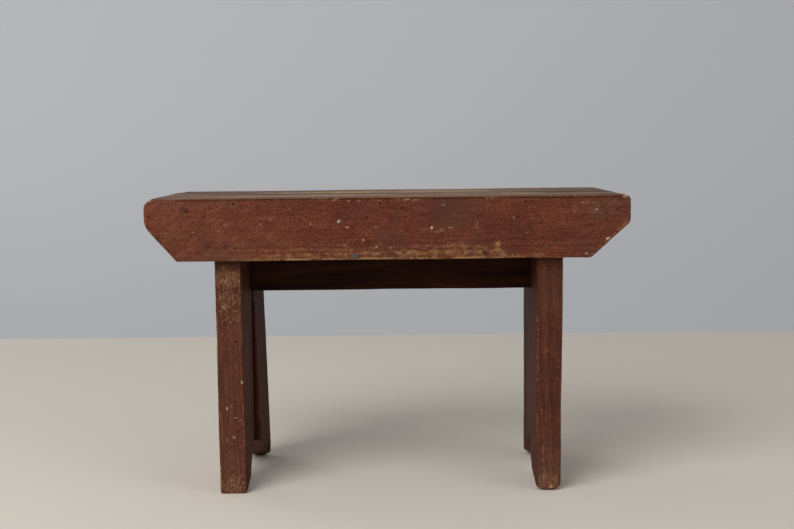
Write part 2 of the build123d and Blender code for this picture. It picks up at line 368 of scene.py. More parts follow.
FRONT_APRON_WORMHOLES = (
    (202, 269), (212, 272), (191, 263), (203, 263), (128, 280), (86, 269), (142, 261), (17, 267),
    (17, 281), (-6, 279), (144, 246), (188, 239), (-19, 267), (-77, 256), (14, 275), (-189, 275),
    (-185.5, 274), (-220, 270), (-169, 269), (-151, 239.5), (-166, 240), (-141, 239), (-146, 281),
    (-142, 280), (0, 280), (93, 231), (88, 235),
)

# Soles of the feet in millimetres: across the stool, up, and the wear radius
LEFT_FRONT_SOLE = ((-59, 0, 4), (-48, 4, 5), (-37, 5.6, 4), (-29, 19, 10))
LEFT_REAR_SOLE = ((27, 20, 14), (48, 10.5, 12), (61, 4.5, 6), (68, 1, 2))
RIGHT_SOLES = (
    (-60, 0, 5), (-42, 1.7, 5), (-23, 6.5, 6), (-11, 20, 8), (0, 40, 3),
    (27, 20, 14), (48, 8.5, 12), (59, 3, 6), (67, 0.4, 3),
)


def box_of(node):
    """Lowest and highest corner of a CAD node's box, in metres."""
    return [np.array(corner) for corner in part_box(node)]


def third_axis(first, second):
    """The axis that is neither of two."""
    return X + Y + Z - first - second


def rise(values, start, length):
    """Share from 0 to 1 of the way from a start over a length, which may run backwards."""
    return np.clip((values - start) / length, 0, 1)


def band(points, height, spread):
    """How near points are to a height, as a soft band from 0 to 1."""
    return np.exp(-((points[:, Z] - height) / spread) ** 2)


def waves(points, lengths, seed, count=9):
    """Smooth field from about -1 to 1 over points: sine waves in random directions, no grid."""
    random = np.random.default_rng(seed)
    scaled = points / np.asarray(lengths)
    total = np.zeros(len(points))
    for _ in range(count):
        direction = random.normal(size=3)
        direction /= np.linalg.norm(direction)
        total += np.sin(2 * math.pi * (scaled @ direction + random.uniform()))
    return total / math.sqrt(count)


def rounded(corners, arc_steps=5):
    """Closed outline through corners given as (a, b, radius), with an arc at each."""
    points = [Vector(corner[:2]) for corner in corners]
    outline = []
    for i, (here, corner) in enumerate(zip(points, corners)):
        radius = corner[2]
        back = (points[i - 1] - here).normalized()
        ahead = (points[(i + 1) % len(points)] - here).normalized()
        half = back.angle(ahead) / 2
        nearly_straight = half > math.radians(88)
        if radius <= 0 or nearly_straight:
            outline.append(here)
            continue
        centre = here + (back + ahead).normalized() * (radius / math.sin(half))
        start = here + back * (radius / math.tan(half)) - centre
        end = here + ahead * (radius / math.tan(half)) - centre
        turn = start.angle_signed(end)
        for step in range(arc_steps + 1):
            outline.append(centre + Matrix.Rotation(-turn * step / arc_steps, 2) @ start)
    return np.array(outline)


def rectangle(low, high, lower_radius, upper_radius):
    """Outline of a plain board seen from the front."""
    return rounded((
        (low.x, low.z, lower_radius),
        (high.x, low.z, lower_radius),
        (high.x, high.z, upper_radius),
        (low.x, high.z, upper_radius),
    ))


def leg_outline(*corners):
    """Outline of a leg board from corners in millimetres, given as for rounded()."""
    return rounded([tuple(value * MM for value in corner) for corner in corners])


def nearest_edge(points, outline):
    """Distance of 2-D points inwards from a closed outline, and the unit direction inwards."""
    following = np.roll(outline, -1, axis=0)
    turning = np.sum(outline[:, 0] * following[:, 1] - following[:, 0] * outline[:, 1])
    distance = np.full(len(points), 1e9)
    inwards = np.zeros((len(points), 2))
    depth = np.zeros(len(points))
    for start, end in zip(outline, following):
        along = end - start
        length = np.linalg.norm(along)
        if length < TINY:
            continue
        normal = np.array((-along[1], along[0])) / length * np.sign(turning)
        share = np.clip((points - start) @ along / length ** 2, 0, 1)
        gap = np.linalg.norm(points - start - share[:, None] * along, axis=1)
        nearer = gap < distance - TINY
        distance[nearer] = gap[nearer]
        inwards[nearer] = normal
        depth[nearer] = ((points - start) @ normal)[nearer]
    return np.maximum(depth, 0), inwards


def placed(name, data):
    """New object in the scene that shows a mesh, a lamp or a camera."""
    thing = bpy.data.objects.new(name, data)
    bpy.context.scene.collection.objects.link(thing)
    return thing


def piece_from(name, mesh, material, edge_angle=None):
    """New object with one material, drawn smooth but for edges past an angle in degrees."""
    mesh.materials.clear()
    mesh.materials.append(material)
    if edge_angle:
        for polygon in mesh.polygons:
            polygon.use_smooth = True
        mesh.set_sharp_from_angle(angle=math.radians(edge_angle))
    return placed(name, mesh)


def solid_from(name, solid):
    """Object made of a bmesh, which is used up."""
    bmesh.ops.recalc_face_normals(solid, faces=solid.faces)
    mesh = bpy.data.meshes.new(name)
    solid.to_mesh(mesh)
    solid.free()
    return placed(name, mesh)


def discard(piece):
    """Removes an object that was only used on the way, and its mesh."""
    mesh = piece.data
    bpy.data.objects.remove(piece)
    bpy.data.meshes.remove(mesh)


def evaluated_mesh(piece):
    """Plain mesh of an object as its modifiers leave it."""
    graph = bpy.context.evaluated_depsgraph_get()
    return bpy.data.meshes.new_from_object(piece.evaluated_get(graph), depsgraph=graph)


def prism(name, outline, axes, low, high):
    """Object whose closed mesh is an outline on two axes, pushed through the third from low to high."""
    across = third_axis(*axes)
    solid = bmesh.new()
    corners = []
    for a, b in outline:
        place = Vector((low, low, low))
        place[axes[0]] = a
        place[axes[1]] = b
        corners.append(solid.verts.new(place))
    face = solid.faces.new(corners)
    pushed = bmesh.ops.extrude_face_region(solid, geom=[face])["geom"]
    shift = Vector((0, 0, 0))
    shift[across] = high - low
    bmesh.ops.translate(solid, vec=shift, verts=[v for v in pushed if isinstance(v, bmesh.types.BMVert)])
    return solid_from(name, solid)


def scatter_tree(name, sizes, shape):
    """Geometry Nodes tree that stands a copy of a shape on each point, along its outward direction."""
    tree = bpy.data.node_groups.new(name, "GeometryNodeTree")
    add = functools.partial(add_node, tree)
    face = tree.interface
    face.new_socket("Places", in_out="INPUT", socket_type="NodeSocketGeometry")
    for size, default in sizes.items():
        socket = face.new_socket(size, in_out="INPUT", socket_type="NodeSocketFloat")
        socket.subtype = "DISTANCE"
        socket.default_value = default
    for title, kind in (("Least Scale", "Float"), ("Most Scale", "Float"), ("Tilt", "Float"),
                        ("Seed", "Int"), ("Finish", "Material")):
        face.new_socket(title, in_out="INPUT", socket_type="NodeSocket" + kind)
    face.new_socket("Geometry", in_out="OUTPUT", socket_type="NodeSocketGeometry")
    given = add("NodeGroupInput").outputs
    outward = add("GeometryNodeInputNamedAttribute", {"Name": "outward"}, data_type="FLOAT_VECTOR")
    turn = add("FunctionNodeAlignRotationToVector", {"Vector": outward}, axis="Z")
    tilt = given["Tilt"]
    lean = add("Math", (tilt, -1.0), operation="MULTIPLY")
    least = add("CombineXYZ", (lean, lean, 0.0))
    most = add("CombineXYZ", (tilt, tilt, 2 * math.pi))
    turns = {0: least, 1: most, "Seed": given["Seed"]}
    spin = add("FunctionNodeRandomValue", turns, data_type="FLOAT_VECTOR")
    spun = add("FunctionNodeRotateRotation", {"Rotation": turn, "Rotate By": spin}, rotation_space="LOCAL")
    limits = {2: given["Least Scale"], 3: given["Most Scale"], "Seed": given["Seed"]}
    scale = add("FunctionNodeRandomValue", limits, data_type="FLOAT").outputs[1]
    copies = add("GeometryNodeInstanceOnPoints", {
        "Points": given["Places"], "Instance": shape(tree, given), "Rotation": spun, "Scale": scale,
    })
    real = add("GeometryNodeRealizeInstances", {"Geometry": copies})
    finished = add("GeometryNodeSetMaterial", {"Geometry": real, "Material": given["Finish"]})
    add("NodeGroupOutput", {"Geometry": finished})
    return tree


def scattered(name, tree, spots, values):
    """Plain mesh of a scatter tree run on spots, each a place in metres and its outward direction."""
    places, outwards = zip(*spots)
    mesh = bpy.data.meshes.new(name)
    mesh.from_pydata([tuple(place) for place in places], [], [])
    outward = mesh.attributes.new("outward", "FLOAT_VECTOR", "POINT")
    outward.data.foreach_set("vector", np.array(outwards, dtype=float).ravel())
    points = placed(name, mesh)
    modifier = points.modifiers.new("Scatter", "NODES")
    modifier.node_group = tree
    # inputs are set by their sockets' identifiers
    for item in tree.interface.items_tree:
        if item.item_type == "SOCKET" and item.in_out == "INPUT" and item.name in values:
            modifier[item.identifier] = values[item.name]
    made = evaluated_mesh(points)
    points.modifiers.clear()
    discard(points)
    return made


def boring_shape(tree, given):
    """Eight-sided wormhole, as deep below its place as it stands above."""
    sizes = {"Vertices": 8, "Radius": given["Radius"], "Depth": given["Depth"]}
    return add_node(tree, "GeometryNodeMeshCylinder", sizes)


def nail_shape(tree, given):
    """Wire nail: a low domed head, a round shank and a point, with the head's top at the origin."""
    add = functools.partial(add_node, tree)
    crown_share = 0.78
    crown = add("Math", (given["Head Radius"], crown_share), operation="MULTIPLY")
    shank = add("Math", (given["Length"], given["Point Length"]), operation="SUBTRACT")
    parts = (
        (14, given["Head Radius"], crown, given["Head Thickness"], given["Head Thickness"]),
        (8, given["Shank Radius"], given["Shank Radius"], shank, shank),
        (8, 0.0, given["Shank Radius"], given["Point Length"], given["Length"]),
    )
    join = add("GeometryNodeJoinGeometry")
    for sides, lower, upper, depth, foot in parts:
        cone = add("GeometryNodeMeshCone", {
            "Vertices": sides, "Radius Top": upper, "Radius Bottom": lower, "Depth": depth,
        })
        drop = add("Math", (foot, -1.0), operation="MULTIPLY")
        shift = add("CombineXYZ", (0.0, 0.0, drop))
        moved = add("GeometryNodeTransform", {"Geometry": cone, "Translation": shift})
        tree.links.new(moved.outputs[0], join.inputs[0])
    return join


def crack_cutter(solid, path, half_width, depth, outward):
    """Adds a thin wedge to a bmesh: it follows a path on a face, gapes in the middle and dies out."""
    outward = Vector(outward)
    path = [Vector(point) * MM for point in path]
    least_gape = 0.12
    flare = 1.4
    rings = []
    for i, place in enumerate(path):
        share = i / (len(path) - 1)
        gape = least_gape + (1 - least_gape) * math.sin(math.pi * share) ** 0.8
        along = path[min(i + 1, len(path) - 1)] - path[max(i - 1, 0)]
        side = outward.cross(along).normalized() * (half_width * MM * gape)
        top = place + outward * MM
        tip = place - outward * (depth * MM * gape)
        rings.append([solid.verts.new(corner) for corner in (top - side * flare, top + side * flare, tip)])
    for ring, following in zip(rings, rings[1:]):
        for k in range(3):
            solid.faces.new((ring[k], ring[(k + 1) % 3], following[(k + 1) % 3], following[k]))
    solid.faces.new(rings[0])
    solid.faces.new(rings[-1])


def wander(start, end, seed, stray=0.8, steps=14):
    """Path of a crack between two points, in millimetres, that strays a little from straight."""
    start = Vector(start)
    end = Vector(end)
    lengths = (30, 30, 30)
    shares = np.linspace(0, 1, steps)
    places = np.array([start.lerp(end, share) for share in shares])
    for axis in (X, Y, Z):
        places[:, axis] += stray * waves(places, lengths, seed + axis, 5) * np.sin(math.pi * shares)
    return [Vector(place) for place in places]


def cutters_for(name, wormholes, cracks, shape):
    """One object with all that is cut out of a board: wormholes as (place, outward) and cracks."""
    solid = bmesh.new()
    if wormholes:
        sizes = {"Radius": shape.wormhole_radius, "Depth": HOLE_DEPTH}
        tree = scatter_tree(name + "_wormholes", sizes, boring_shape)
        spots = [(Vector(place) * MM, outward) for place, outward in wormholes]
        spread = {"Least Scale": 0.65, "Most Scale": 1.15, "Tilt": 0.35, "Seed": shape.seed}
        made = scattered(name + "_wormholes", tree, spots, sizes | spread)
        solid.from_mesh(made)
        bpy.data.meshes.remove(made)
        bpy.data.node_groups.remove(tree)
    for crack in cracks:
        crack_cutter(solid, *crack)
    return solid_from(name + "_cutters", solid)


class Board:
    """One worn board: its outline, how its grain runs, and what time has done to it."""

    wormholes = cracks = marks = knots = ()
    bend = grime = sawn = worn_round = faces = None
    edge_wear = 1.0

    def __init__(self, node, outline, axes, length_axis, width_axis, seed, step, arris, **wear):
        self.node = node
        self.outline = outline
        self.axes = axes
        self.across = third_axis(*axes)
        self.length_axis = length_axis
        self.width_axis = width_axis
        self.thickness_axis = third_axis(length_axis, width_axis)
        self.seed = seed
        self.step = step
        self.arris = arris
        for title, value in wear.items():
            setattr(self, title, value)

    def drawn_out(self, millimetres, times):
        """Lengths of waves in metres, so many times longer along the board."""
        lengths = np.full(3, millimetres * MM)
        lengths[self.length_axis] *= times
        return lengths

    def growth_rings(self, points):
        """Distance from the tree's heart in millimetres, bent round the knots: even steps are rings."""
        random = np.random.default_rng(self.seed)
        low, high = box_of(self.node)
        middle = (low + high) / 2
        local = points - middle
        along = local[:, self.length_axis] / MM
        # the heart is 26 to 44 mm from the board's middle, and the trunk tapers along the board
        width = local[:, self.width_axis] / MM + random.uniform(-9, 9)
        deep = local[:, self.thickness_axis] / MM + random.uniform(26, 44) * random.choice((-1, 1))
        rings = np.hypot(width, deep) + along * random.uniform(0.008, 0.02)
        lengths = self.drawn_out(90, 4)
        rings += 2.6 * waves(points, lengths, self.seed + 50)
        rings += 0.5 * waves(points, lengths / 4, self.seed + 51)
        for place, radius in self.knots:
            gap = local - (np.array(place) * MM - middle)
            # a knot is longer along the board than across it
            gap[:, self.length_axis] /= 2.2
            gap[:, self.thickness_axis] = 0
            reach = np.linalg.norm(gap, axis=1) / (radius * MM)
            pull = np.exp(-reach ** 2 / 2.4)
            rings = rings * (1 - pull) + pull * reach * radius * 1.2
        return rings

    def build(self, material, shape):
        """Finished object of the board, inside its own CAD box."""
        low, high = box_of(self.node)
        if self.faces:
            low[self.across], high[self.across] = self.faces
        name = "worn_" + self.node
        block = prism(name + "_block", self.outline, self.axes, low[self.across], high[self.across])
        cells = block.modifiers.new("Cells", "REMESH")
        cells.mode = "VOXEL"
        cells.voxel_size = self.step
        spent = [block]
        if self.wormholes or self.cracks:
            cut = block.modifiers.new("Cut", "BOOLEAN")
            cut.solver = "MANIFOLD"
            cut.operation = "DIFFERENCE"
            cut.object = cutters_for(name, self.wormholes, self.cracks, shape)
            spent.append(cut.object)
        mesh = evaluated_mesh(block)
        for piece in spent:
            discard(piece)
        mesh.name = name
        points = np.empty(len(mesh.vertices) * 3)
        mesh.vertices.foreach_get("co", points)
        self.weather(mesh, points.reshape(-1, 3), low, high, shape)
        return piece_from(name, mesh, material, BOARD_EDGE_ANGLE)

    def weather(self, mesh, points, low, high, shape):
        """Rounds the arrises, bends the faces and stores the wear, grime and painted shade that the finish
        reads.
        """
        depth, inwards = nearest_edge(points[:, self.axes], self.outline)
        thickness = points[:, self.across]
        to_low = thickness - low[self.across]
        to_high = high[self.across] - thickness
        skin = np.maximum(np.minimum(to_low, to_high), 0)
        inward_sign = np.where(to_low < to_high, 1, -1)
        # knocks have rounded the arris more in some places than in others
        lengths = self.drawn_out(14, 3)
        knocks = waves(points, lengths, self.seed + 1)
        radius = self.arris * (1 + 0.45 * knocks + 0.9 * np.clip(knocks - 0.9, 0, 2))
        radius = np.maximum(radius, 0.5 * MM)
        if self.worn_round:
            radius = radius + self.worn_round(points / MM) * MM
        a = radius - depth
        b = radius - skin
        reach = np.hypot(a, b)
        outside = (a > 0) & (b > 0) & (reach > radius)
        shrink = np.where(outside, 1 - radius / np.maximum(reach, TINY), 0)
        # points well inside the block are the walls of wormholes and cracks, darkened with old dirt and
        # painted shade
        buried = rise(np.minimum(depth, skin) / MM, 0.3, 1.2)
        self.store(mesh, points, (depth + skin) / MM, buried)
        moved = points.copy()
        moved[:, self.axes] += inwards * (a * shrink)[:, None]
        moved[:, self.across] += inward_sign * b * shrink
        plane_marks = (0.13, 0.06, 0.13)
        ripple = 0.07 * MM
        for axis in (X, Y, Z):
            moved[:, axis] += shape.waviness * waves(points, plane_marks, self.seed + 10 + axis)
        fine = ripple * waves(points, lengths * 0.45, self.seed + 20)
        moved[:, self.across] += inward_sign * fine
        # the board fills its CAD box again, and its wavy faces lie in the box's faces on the whole
        for axis in (X, Y, Z):
            reached = moved[:, axis]
            first, last = reached.min(), reached.max()
            if axis == self.across:
                first, last = np.percentile(reached, (8, 92))
            moved[:, axis] = low[axis] + rise(reached, first, last - first) * (high[axis] - low[axis])
        if self.bend:
            moved += self.bend(moved, shape)
        mesh.vertices.foreach_set("co", moved.ravel())
        mesh.update()

    def store(self, mesh, points, edge, buried):
        """Writes growth rings, edge wear, grime with painted shade, saw marks and listed marks to the mesh.
        """
        luck = np.clip(0.62 + 0.34 * waves(points, self.drawn_out(20, 2), self.seed + 30), 0, 1.2)
        wear_reach = 1.9
        places = points / MM
        colour = np.zeros((len(points), 4))
        colour[:, :3] = MARK_COLOURS["bare"]
        for place, reach, tint, strength in self.marks:
            gap = np.linalg.norm((places - np.array(place)) / np.array(reach), axis=1)
            # full in the inner half of its reach, and fading out to one and a half times it
            amount = strength * np.clip(1.5 - gap, 0, 1)
            stronger = amount > colour[:, 3]
            colour[stronger, :3] = MARK_COLOURS[tint]
            colour[:, 3] = np.maximum(colour[:, 3], amount)
        values = {
            "ring": self.growth_rings(points),
            "wear": np.exp(-edge / wear_reach) * luck * self.edge_wear,
            "grime": np.clip(np.maximum(buried, self.grime(places)) if self.grime else buried, 0, 1),
            "sawn": self.sawn(places) if self.sawn else np.zeros(len(points)),
        }
        for title, field in values.items():
            mesh.attributes.new(title, "FLOAT", "POINT").data.foreach_set("value", field)
        mesh.attributes.new("mark", "FLOAT_COLOR", "POINT").data.foreach_set("color", colour.ravel())


def random_places(random, node, axis, side, margin=0):
    """Endless random places on one face of a node's box, in millimetres, clear of its edges."""
    low, high = (corner / MM for corner in box_of(node))
    inset = np.minimum(margin, 0.3 * (high - low))
    while True:
        place = random.uniform(low + inset, high - inset)
        place[axis] = high[axis] if side > 0 else low[axis]
        yield place


def random_wormholes(node, faces, count, seed, clear=9):
    """Places and outward directions of wormholes scattered over some faces of a node's box."""
    random = np.random.default_rng(seed)
    least_distance = 6
    found = []
    for axis, side in faces:
        places = random_places(random, node, axis, side, clear)
        chosen = []
        while len(chosen) < count:
            place = next(places)
            if all(np.linalg.norm(place - other) > least_distance for other in chosen):
                chosen.append(place)
        outward = np.zeros(3)
        outward[axis] = side
        found += [(place, outward) for place in chosen]
    return found


def random_marks(node, faces, seed, flecks=12, patches=4):
    """Flecks, drips and rubbed patches scattered over some faces of a node's box."""
    random = np.random.default_rng(seed)
    found = []
    for axis, side in faces:
        places = random_places(random, node, axis, side)
        for i in range(flecks + patches):
            place = next(places)
            if i < flecks:
                tint = random.choice(("fleck", "fleck", "pink", "rubbed", "cream", "dusk"))
                reach = random.uniform(0.8, 2.2, 3)
                strength = random.uniform(0.6, 0.9)
            else:
                tint = random.choice(("rubbed", "ochre", "soiled"))
                reach = random.uniform(6, 26, 3)
                strength = random.uniform(0.34, 0.46)
            reach[axis] = MARK_DEPTH
            found.append((place, reach, str(tint), strength))
    return found


def worn_line(start, end, seed, across, strength=0.6, tints=("bare", "ochre", "tan")):
    """Patches of bare wood strung along an edge between two points, in millimetres."""
    random = np.random.default_rng(seed)
    start = np.array(start, dtype=float)
    end = np.array(end, dtype=float)
    length = np.linalg.norm(end - start)
    along = (end - start) / length
    found = []
    travelled = 0
    while travelled < length:
        half = random.uniform(0.02, 0.09) * length
        reach = across * random.uniform(0.5, 1.3) * np.ones(3) + half * np.abs(along)
        place = start + along * (travelled + half)
        tint = str(random.choice(tints))
        found.append((place, reach, tint, strength * random.uniform(0.7, 1.2)))
        travelled += half * random.uniform(1.2, 3.0)
    return found


def new_finish(name):
    """New material without nodes, and the function that adds nodes to it."""
    material = bpy.data.materials.new(name)
    material.use_nodes = True
    material.node_tree.nodes.clear()
    return material, functools.partial(add_node, material.node_tree)


# By the grain's axis: name, size of the chips in millimetres, least dulling, and contrast of the grit
PAINTS = {
    X: ("red_oxide_paint_on_pine_lengthwise", 3.2, 0.0, 0.06),
    Z: ("red_oxide_paint_on_pine_upright", 2.2, 0.3, 0.22),
}


def painted_pine(finish, length_axis):
    """Oil paint coloured with red oxide, brushed by hand on planed pine, and worn by use.

    The eye sees a dull, uneven red-brown with fine grit and brush lines along the grain, rubbed
    chalky in places, and giving way to mottled tan wood in ragged chips.
    """
    name, chip_size, dulling, contrast = PAINTS[length_axis]
    if name in bpy.data.materials:
        return bpy.data.materials[name]
    material, add = new_finish(name)
    place = add("TexCoord").outputs["Object"]
    # brush lines and dirt are drawn out far along the grain, and mottle and chips a little
    scales = [[share if axis == length_axis else 1.0 for axis in (X, Y, Z)] for share in (0.06, 0.55)]
    lengthwise, drawn = (add("Mapping", {"Vector": place, "Scale": scale}) for scale in scales)
    mottle, brush, crumbs, grit, handled, streaks = (
        add("TexNoise", {"Vector": vector, "Scale": per_metre(size), "Detail": detail, "Roughness": rough})
        for vector, size, detail, rough in (
            (drawn, 30, 8.0, 0.68),
            # brush hairs are finer than this, and are drawn 1.5 mm apart so that they show
            (lengthwise, 1.5, 3.0, 0.7),
            # ragged edges of lost paint
            (drawn, chip_size, 5.0, 0.72),
            # pigment grit and dust, drawn 1.4 mm across so that they show
            (place, 1.4, 2.0, 0.7),
            # wide patches that handling has greyed
            (place, 55, 5.0, 0.62),
            # the darkening from grime and painted shade lies in streaks about 10 mm wide along the grain
            (lengthwise, 10, 5.0, 0.65),
        )
    )
    ring, sawn, wear, grime = (
        add("Attribute", attribute_name=title).outputs["Fac"] for title in ("ring", "sawn", "wear", "grime")
    )
    mark = add("Attribute", attribute_name="mark")
    ring_count = add("Math", (ring, 0.42), operation="MULTIPLY")
    grain = add("TexNoise", {"W": ring_count, "Scale": 1.0, "Detail": 3.0}, noise_dimensions="1D")
    tone = add("Math", (mottle, 0.27), operation="MULTIPLY")
    for share, part in ((0.25, brush), (0.1, grain), (0.42, grit)):
        tone = add("Math", (part, share, tone), operation="MULTIPLY_ADD")
    stops = ((0.4, finish.deep_paint), (0.52, finish.paint), (0.66, finish.faded_paint))
    fresh = add("ValToRGB", (tone,), stops)
    dullness = add("MapRange", (handled, 0.48, 0.69, dulling, 0.6))
    dull_paint = (*finish.dull_paint, 1)
    smooth_paint = add("Mix", {0: dullness, 6: fresh, 7: dull_paint}, data_type="RGBA").outputs[2]
    speckle = add("MapRange", (tone, 0.45, 0.59, 1 - contrast, 1 + contrast))
    paint = add("VectorMath", {0: smooth_paint, "Scale": speckle}, operation="SCALE")
    wood_sum = add("Math", (grit, grain), operation="ADD")
    wood_tone = add("Math", (wood_sum, 0.5), operation="MULTIPLY")
    bare = add("ValToRGB", (wood_tone,), ((0.42, finish.old_wood), (0.56, finish.bare_wood)))

    # scraper strokes, 2.4 mm apart and slanting, where the board was worked across
    slant = add("Mapping", {"Vector": place, "Rotation": (0.0, math.radians(36), 0.0)})
    along_stroke = add("Mapping", {"Vector": slant, "Scale": (0.16, 1.0, 1.0)})
    stroke_noise = {"Vector": along_stroke, "Scale": per_metre(2.4), "Detail": 2.0, "Roughness": 0.6}
    strokes = add("MapRange", (add("TexNoise", stroke_noise), 0.46, 0.72, 0.1, 0.7))
    stroke_mask = add("Math", (strokes, sawn), operation="MULTIPLY")
    stroke_show = add("Math", (stroke_mask, crumbs), operation="MULTIPLY")

    # specks about 1 mm across, one to a cell: pale where paint is lost, dark where dirt has stuck
    specks = []
    for cell, lowest, highest, strength in ((5.0, 0.60, 0.64, 0.6), (3.4, 0.56, 0.6, 0.75)):
        cells = add("TexVoronoi", {"Vector": place, "Scale": per_metre(cell)})
        near = add("MapRange", (cells.outputs["Distance"], 0.09, 0.2, strength, 0.0))
        picked = add("MapRange", (cells.outputs["Color"], lowest, highest))
        specks.append(add("Math", (near, picked), operation="MULTIPLY"))
    pale_specks, dark_specks = specks

    # coverage of bare wood and of marks is cut out of crumbs and grit, so low coverage leaves flecks
    broken = add("Math", (crumbs, grit), operation="ADD")
    level = add("MapRange", (broken, 0.74, 1.26))
    worn, marked = (
        add("MapRange", (add("Math", (coverage, level), operation="SUBTRACT"), -0.05, 0.13))
        for coverage in (wear, mark.outputs["Alpha"])
    )
    lost = add("Math", (worn, pale_specks), operation="MAXIMUM")
    # dirt and paint left in the pores break every mark up
    kept = add("MapRange", (wood_tone, 0.42, 0.57, 0.55, 0.0))
    mark_tint = add("Mix", {0: kept, 6: mark.outputs["Color"], 7: paint}, data_type="RGBA").outputs[2]
    uneven = add("MapRange", (streaks, 0.36, 0.64, 0.68, 1.06))
    darkening_depth = add("Math", (grime, uneven), operation="MULTIPLY")
    rubbed = (*MARK_COLOURS["rubbed"], 1)
    dirt = (*finish.dirt, 1)
    # the dark specks are dirt; the last mix darkens towards the dirt colour by grime and painted shade
    colour = paint
    for share, tint in ((stroke_show, rubbed), (lost, bare), (marked, mark_tint),
                        (dark_specks, dirt), (darkening_depth, dirt)):
        colour = add("Mix", {0: share, 6: colour, 7: tint}, data_type="RGBA").outputs[2]

    gone = add("Math", (lost, marked), operation="MAXIMUM")
    rough = add("Math", (crumbs, 0.35, 0.5), operation="MULTIPLY_ADD")
    rough = add("Math", (gone, 0.15, rough), operation="MULTIPLY_ADD")
    relief = crumbs
    for share, part in ((0.5, grain), (0.5, brush), (0.5, grit), (0.5, stroke_mask), (-0.6, gone)):
        relief = add("Math", (part, share, relief), operation="MULTIPLY_ADD")
    bump = add("Bump", {"Height": relief, "Strength": 0.8, "Distance": 0.4 * MM})
    # grime and painted shade take the last of the paint's shine
    shine = add("MapRange", (grime, 0.0, 0.6, 0.2, 0.04))
    shader = add("BsdfPrincipled", {
        "Base Color": colour, "Roughness": rough, "Normal": bump, "Specular IOR Level": shine,
    })
    add("OutputMaterial", {"Surface": shader})
    return material


def weathered_pine(finish):
    """Pine seat that has lost nearly all its paint, scrubbed and greyed by use.

    The eye sees grey-brown wood whose dark growth rings stand out as lines and ridges, with paler
    scrubbed stretches, stains, and red-brown paint left in hollows.
    """
    material, add = new_finish("weathered_pine_seat")
    place = add("TexCoord").outputs["Object"]
    scales = ((0.06, 1.0, 1.0), (0.3, 1.0, 1.0))
    lengthwise, drawn = (add("Mapping", {"Vector": place, "Scale": scale}) for scale in scales)
    fibres, clouds, crumbs = (
        add("TexNoise", {"Vector": vector, "Scale": per_metre(size), "Detail": detail, "Roughness": rough})
        for vector, size, detail, rough in (
            # wood fibres are finer than this, and are drawn 1.4 mm apart so that they show
            (lengthwise, 1.4, 4.0, 0.65),
            # wide patches of scrubbing and greying
            (drawn, 30, 6.0, 0.6),
            # ragged edges of stains and of paint
            (drawn, 2.4, 4.0, 0.65),
        )
    )
    ring, grime = (add("Attribute", attribute_name=title).outputs["Fac"] for title in ("ring", "grime"))
    mark = add("Attribute", attribute_name="mark")
    ring_count = add("Math", (ring, 0.38), operation="MULTIPLY")
    grain = add("TexNoise", {"W": ring_count, "Scale": 1.0, "Detail": 4.0}, noise_dimensions="1D")
    tone = add("Math", (fibres, 0.8, grain), operation="MULTIPLY_ADD")
    wood = add("ValToRGB", (tone,), ((0.71, finish.seat_grain), (0.89, finish.seat_wood)))
    streaks = add("Math", (crumbs, fibres), operation="ADD")
    mark_edge = add("Math", (streaks, 1.6, mark.outputs["Alpha"]), operation="MULTIPLY_ADD")
    marked = add("MapRange", (mark_edge, 1.88, 2.5, 0.0, 0.95))
    rubbed = add("MapRange", (clouds, 0.5, 0.72, 0.0, 0.5))
    ringed = add("MapRange", (tone, 0.66, 0.9, 0.5, 0.0))
    # the board has greyed unevenly, in patches and in specks
    greyed = add("Math", (crumbs, 0.7, clouds), operation="MULTIPLY_ADD")
    patchiness = add("MapRange", (greyed, 0.66, 1.04, 0.66, 1.2))
    film = add("Math", (clouds, 1.4, crumbs), operation="MULTIPLY_ADD")
    painted = add("MapRange", (film, 0.86, 0.98, 0.65, 0.0))
    scrubbed, dark_grain, paint, dirt = (
        (*colour, 1) for colour in (finish.seat_scrubbed, finish.seat_grain, finish.paint, finish.dirt)
    )
    colour = wood
    for share, tint in ((rubbed, scrubbed), (marked, mark.outputs["Color"]), (ringed, dark_grain)):
        colour = add("Mix", {0: share, 6: colour, 7: tint}, data_type="RGBA").outputs[2]
    colour = add("VectorMath", {0: colour, "Scale": patchiness}, operation="SCALE")
    # grime darkens the seat towards the dirt colour, with painted shade in its wormholes and cracks
    for share, tint in ((painted, paint), (grime, dirt)):
        colour = add("Mix", {0: share, 6: colour, 7: tint}, data_type="RGBA").outputs[2]
    rough = add("Math", (crumbs, 0.3, 0.55), operation="MULTIPLY_ADD")
    relief = add("Math", (grain, 1.2, fibres), operation="MULTIPLY_ADD")
    bump = add("Bump", {"Height": relief, "Strength": 0.8, "Distance": 0.5 * MM})
    shader = add("BsdfPrincipled", {
        "Base Color": colour, "Roughness": rough, "Normal": bump, "Specular IOR Level": 0.35,
    })
    add("OutputMaterial", {"Surface": shader})
    return material


def rusted_iron(finish):
    """Drawn iron wire nails with struck heads, rusted brown and brushed over with the paint.

    The eye sees small dark dull discs, a little pitted, with a warmer bloom of rust.
    """
    material, add = new_finish("rusted_iron_nails")
    place = add("TexCoord").outputs["Object"]
    pits = add("TexNoise", {"Vector": place, "Scale": per_metre(1.3), "Detail": 5.0, "Roughness": 0.65})
    colour = add("ValToRGB", (pits,), ((0.4, finish.iron), (0.6, finish.rust)))
    rough = add("Math", (pits, 0.4, 0.5), operation="MULTIPLY_ADD")
    bump = add("Bump", {"Height": pits, "Strength": 0.8, "Distance": 0.25 * MM})
    shader = add("BsdfPrincipled", {
        "Base Color": colour, "Roughness": rough, "Normal": bump, "Metallic": 0.25,
    })
    add("OutputMaterial", {"Surface": shader})
    return material


def dress(piece, node):
    """Attaches a finished piece to the stool's body and hides the CAD node that it stands for."""
    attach(piece, BODY)
    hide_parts(node)


def skewed(points, shape):
    """Shift of a leg's points to the right, growing from its front edge to its rear edge."""
    inner = abs(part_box("right_leg")[0].y)
    shift = np.zeros(points.shape)
    shift[:, X] = shape.leg_skew * (points[:, Y] + inner) / (2 * inner)
    return shift


